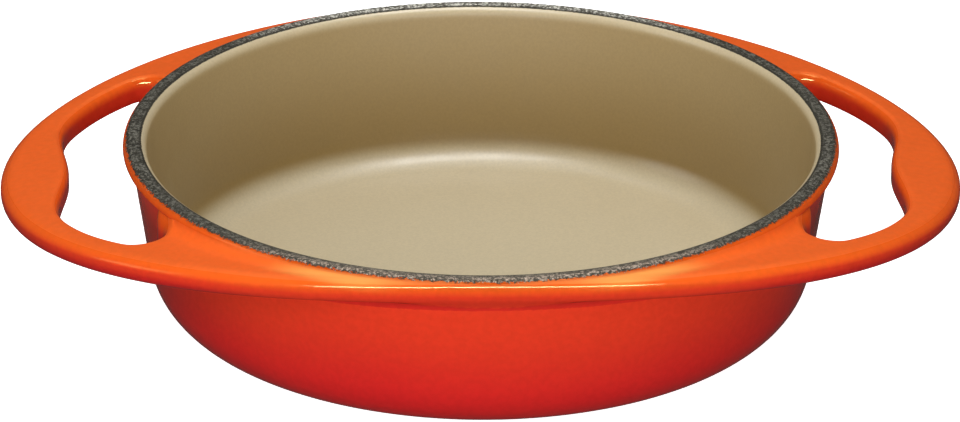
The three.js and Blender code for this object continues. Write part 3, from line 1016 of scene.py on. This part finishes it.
def slate_coat(context):
    """Granular ground coat of the rim band, with the two glazes lapping over its ragged edges."""
    shade = Shading("slate_coat")
    bowl = context.scene.dish_bowl
    colours = context.scene.dish_colours
    spot = shade.spot()
    side = shade.span(spot[0], [bowl.band_width * share for share in LAP], base=bowl.mouth_radius)
    glaze = shade.mix(side, sand_colour(shade, context, spot[2]), colours.orange)
    ripple = shade.times(shade.noise("glaze ripple"), GLAZE_RIPPLE)
    rim_finish(shade, context, spot, glaze, shade.between(side, *LAP_GLOSS), ripple)
    shade.give("Specular Tint", colours.slate_sheen)
    return shade.material


SCUFF, SCUFF_TINT = (0.45, 0.7), 0.6  # noise that is scuffed, and the colour left there
SCUFF_GLOSS = 0.25, 0.45  # roughness
BASE_BUMP = 0.05, 0.001  # strength and distance


def base_coat(context):
    """Crimson enamel under the base, dulled and scuffed by the table."""
    crimson = context.scene.dish_colours.crimson
    shade = Shading("base_coat")
    scuff = shade.vary("base scuff", ends=SCUFF)
    shade.give("Base Color", shade.mix(scuff, crimson, tinted(crimson, SCUFF_TINT)))
    shade.give("Roughness", shade.span(scuff, (0, 1), SCUFF_GLOSS))
    shade.bump(shade.noise("base ripple"), *BASE_BUMP)
    return shade.material


IRON_GRAIN, IRON_TINT = (0.4, 0.7), 2  # grain that shows paler, and how much
IRON_METAL, IRON_ROUGHNESS = 0.8, 0.75
IRON_BUMP = 0.4, 0.0006  # strength and distance


def cast_iron(context):
    """Raw cast iron under the coats, dark and grainy."""
    iron = context.scene.dish_colours.iron
    shade = Shading("cast_iron")
    grain = shade.noise("iron grain")
    shade.give("Base Color", shade.mix(shade.span(grain, IRON_GRAIN), iron, tinted(iron, IRON_TINT)))
    shade.give("Metallic", IRON_METAL)
    shade.give("Roughness", IRON_ROUGHNESS)
    shade.bump(grain, *IRON_BUMP)
    return shade.material


FLOOR_TINT, FLOOR_ROUGHNESS, FLOOR_GLOW = 0.99, 0.9, 1.0


def studio_floor(context):
    """Pale floor that stays white right up to the dish."""
    colour = context.scene.dish_colours.floor
    shade = Shading("studio_floor")
    shade.give("Base Color", shade.mix(shade.vary("floor tone"), colour, tinted(colour, FLOOR_TINT)))
    shade.give("Roughness", FLOOR_ROUGHNESS)
    shade.give("Emission Color", (1, 1, 1))
    shade.give("Emission Strength", FLOOR_GLOW)
    return shade.material


def settle(piece, node, material):
    """Gives a piece its material and body, and hides the CAD part that it stands for."""
    piece.data.materials.append(material)
    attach(piece, "root")
    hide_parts(node)


# Stage

# Softboxes: name, place, size across and up, and whether glossy faces mirror it
SOFTBOXES = (
    ("front", (0.0, -1.2, 0.24), (2.3, 0.4), False),
    ("middle", (0.0, -1.15, 0.235), (1.2, 0.4), False),
    ("visor", (-0.5, -1.2, 0.97), (1.6, 0.5), False),
    ("brow", (0.0, -1.37, 0.83), (1.9, 0.27), True),
    ("top", (0.12, -0.24, 2.02), (1.4, 0.7), True),
    ("high_back", (0.0, 0.68, 1.91), (1.4, 0.6), True),
    ("back", (0.0, 1.36, 1.49), (1.6, 0.7), False),
    ("rear", (0.0, 1.6, 0.12), (3.0, 0.24), False),
    ("left", (-1.79, -0.32, 0.88), (0.8, 0.7), True),
    ("bounce", (0.0, 0.0, -0.6), (3.0, 3.0), False),
)
LIGHT_AIM = Vector((0, 0, 0.03))
BROW_COLOUR = 0.94, 1.0, 1.5
BROW_PIECES = "outside_enamel", "rim_band"  # all that the brow lights
FLOOR_HALF, FLOOR_GAP, FLOOR_LINES = 4, 0.0002, 9
SENSOR, CLIP = 36, (0.1, 50)


def lay_floor(context):
    """A level grid just below the dish, which neither lights nor shades it."""
    side = np.linspace(-FLOOR_HALF, FLOOR_HALF, FLOOR_LINES)
    across, along = np.meshgrid(side, side, indexing="ij")
    grid = np.stack([across, along, np.full_like(across, -FLOOR_GAP)], -1)
    mesh = bpy.data.meshes.new("studio_floor")
    mesh.from_pydata(grid.reshape(-1, 3), [], faces_of(grid, UP))
    mesh.materials.append(studio_floor(context))
    floor = bpy.data.objects.new("studio_floor", mesh)
    context.scene.collection.objects.link(floor)
    floor.visible_diffuse = False
    floor.visible_glossy = False
    floor.visible_shadow = False


def hang_lights(context):
    """Softboxes that face the dish, and a little even light from all round."""
    scene = context.scene
    stage = scene.dish_stage
    scene.world = bpy.data.worlds.new("studio")
    scene.world.use_nodes = True
    sky = scene.world.node_tree.nodes["Background"].inputs
    sky["Color"].default_value = (1, 1, 1, 1)
    sky["Strength"].default_value = stage.ambient
    for name, place, size, mirrored in SOFTBOXES:
        lamp = bpy.data.lights.new(name, "AREA")
        lamp.shape = "RECTANGLE"
        lamp.size, lamp.size_y = size
        lamp.energy = getattr(stage, f"{name}_power")
        box = bpy.data.objects.new(name, lamp)
        box.location = place
        box.rotation_euler = (LIGHT_AIM - Vector(place)).to_track_quat("-Z", "Y").to_euler()
        box.visible_glossy = mirrored
        scene.collection.objects.link(box)
        if name == "brow":
            lamp.color = BROW_COLOUR
            box.visible_diffuse = False
            box.light_linking.receiver_collection = bpy.data.collections.new("brow_glow")
            for glazed in BROW_PIECES:
                box.light_linking.receiver_collection.objects.link(bpy.data.objects[glazed])


def set_camera(context):
    """Camera at a distance, elevation and azimuth from the aim point, rolled about its own axis."""
    stage = context.scene.dish_stage
    eye = bpy.data.cameras.new("camera")
    eye.sensor_width = SENSOR
    eye.lens = stage.lens
    eye.clip_start, eye.clip_end = CLIP
    camera = bpy.data.objects.new("camera", eye)
    level = math.cos(stage.elevation)
    sideways = Vector((math.cos(stage.azimuth), math.sin(stage.azimuth), 0))
    back = Vector((sideways.y * level, -sideways.x * level, math.sin(stage.elevation)))
    camera.location = sideways * stage.aim_x + Vector((0, 0, stage.aim_height)) + back * stage.distance
    camera.rotation_mode = "QUATERNION"
    camera.rotation_quaternion = (-back).to_track_quat("-Z", "Y") @ Quaternion((0, 0, 1), stage.roll)
    context.scene.collection.objects.link(camera)
    context.scene.camera = camera


# Operators


class DISH_OT_outside(bpy.types.Operator):
    """Build the flame-coloured outside: the wall, the bead and both handles"""

    bl_idname = "dish.outside"
    bl_label = "Outside enamel"

    def execute(self, context):
        bowl = context.scene.dish_bowl
        profile = outside_profile(bowl)
        warmth = wall_warmth(bowl, profile[:, 1])
        warmth = np.concatenate([warmth, warmth[::-1], warmth[:1]])
        turned = lathe(shell(profile, bowl.coat), warmth=warmth)
        blocks = [turned] + plate_blocks(bowl, context.scene.dish_handles)
        piece = make_piece(context, "outside_enamel", blocks)
        settle(piece, "exterior_enamel", flame_enamel(context))
        return {"FINISHED"}


class DISH_OT_inside(bpy.types.Operator):
    """Build the sand-coloured inside from the lip to the floor"""

    bl_idname = "dish.inside"
    bl_label = "Inside enamel"

    def execute(self, context):
        bowl = context.scene.dish_bowl
        piece = make_piece(context, "inside_enamel", [lathe(shell(inside_profile(bowl), bowl.coat))])
        settle(piece, "interior_enamel", sand_enamel(context))
        return {"FINISHED"}


class DISH_OT_band(bpy.types.Operator):
    """Build the bare dark band on top of the rim"""

    bl_idname = "dish.band"
    bl_label = "Rim band"

    def execute(self, context):
        bowl = context.scene.dish_bowl
        piece = make_piece(context, "rim_band", [lathe(shell(band_profile(bowl), bowl.coat))])
        settle(piece, "rim_ground_coat", slate_coat(context))
        return {"FINISHED"}


class DISH_OT_base(bpy.types.Operator):
    """Build the coat under the base"""

    bl_idname = "dish.base"
    bl_label = "Base coat"

    def execute(self, context):
        bowl = context.scene.dish_bowl
        block = lathe(shell(base_profile(bowl), bowl.coat), closed=False)
        piece = make_piece(context, "base_coat", [block])
        settle(piece, "base_enamel", base_coat(context))
        return {"FINISHED"}


class DISH_OT_casting(bpy.types.Operator):
    """Give the casting under the coats its raw iron finish"""

    bl_idname = "dish.casting"
    bl_label = "Casting"

    def execute(self, context):
        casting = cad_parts["cast_iron_body"]
        casting.data.materials.clear()
        casting.data.materials.append(cast_iron(context))
        return {"FINISHED"}


class DISH_OT_stage(bpy.types.Operator):
    """Set the floor, the soft lights and the camera"""

    bl_idname = "dish.stage"
    bl_label = "Stage"

    def execute(self, context):
        context.scene.view_settings.view_transform = "Standard"
        lay_floor(context)
        hang_lights(context)
        set_camera(context)
        return {"FINISHED"}


class DISH_PT_panel(bpy.types.Panel):
    """Lists the dish's pieces and all their values"""

    bl_idname = "DISH_PT_panel"
    bl_label = "Tarte tatin dish"
    bl_space_type = "VIEW_3D"
    bl_region_type = "UI"
    bl_category = "Dish"

    def draw(self, context):
        for operator in OPERATORS:
            self.layout.operator(operator.bl_idname)
        for group, _ in GROUPS:
            values = getattr(context.scene, group)
            box = self.layout.box()
            for name in values.bl_rna.properties.keys():
                if name not in ("rna_type", "name"):
                    box.prop(values, name)


OPERATORS = (
    DISH_OT_outside,
    DISH_OT_inside,
    DISH_OT_band,
    DISH_OT_base,
    DISH_OT_casting,
    DISH_OT_stage,
)
GROUPS = (
    ("dish_bowl", DishBowlSizes),
    ("dish_handles", DishHandleSizes),
    ("dish_colours", DishColours),
    ("dish_stage", DishStage),
)


def register():
    """Makes the property groups, operators and panel known to Blender."""
    for name, group in GROUPS:
        bpy.utils.register_class(group)
        setattr(bpy.types.Scene, name, PointerProperty(type=group))
    for operator in OPERATORS:
        bpy.utils.register_class(operator)
    bpy.utils.register_class(DISH_PT_panel)


def unregister():
    """Takes them away again."""
    bpy.utils.unregister_class(DISH_PT_panel)
    for operator in reversed(OPERATORS):
        bpy.utils.unregister_class(operator)
    for name, group in reversed(GROUPS):
        delattr(bpy.types.Scene, name)
        bpy.utils.unregister_class(group)


def main():
    """Builds the pieces in order."""
    register()
    bpy.ops.dish.outside()
    bpy.ops.dish.inside()
    bpy.ops.dish.band()
    bpy.ops.dish.base()
    bpy.ops.dish.casting()
    bpy.ops.dish.stage()
    bpy.context.view_layer.update()


if __name__ == "__main__":
    main()
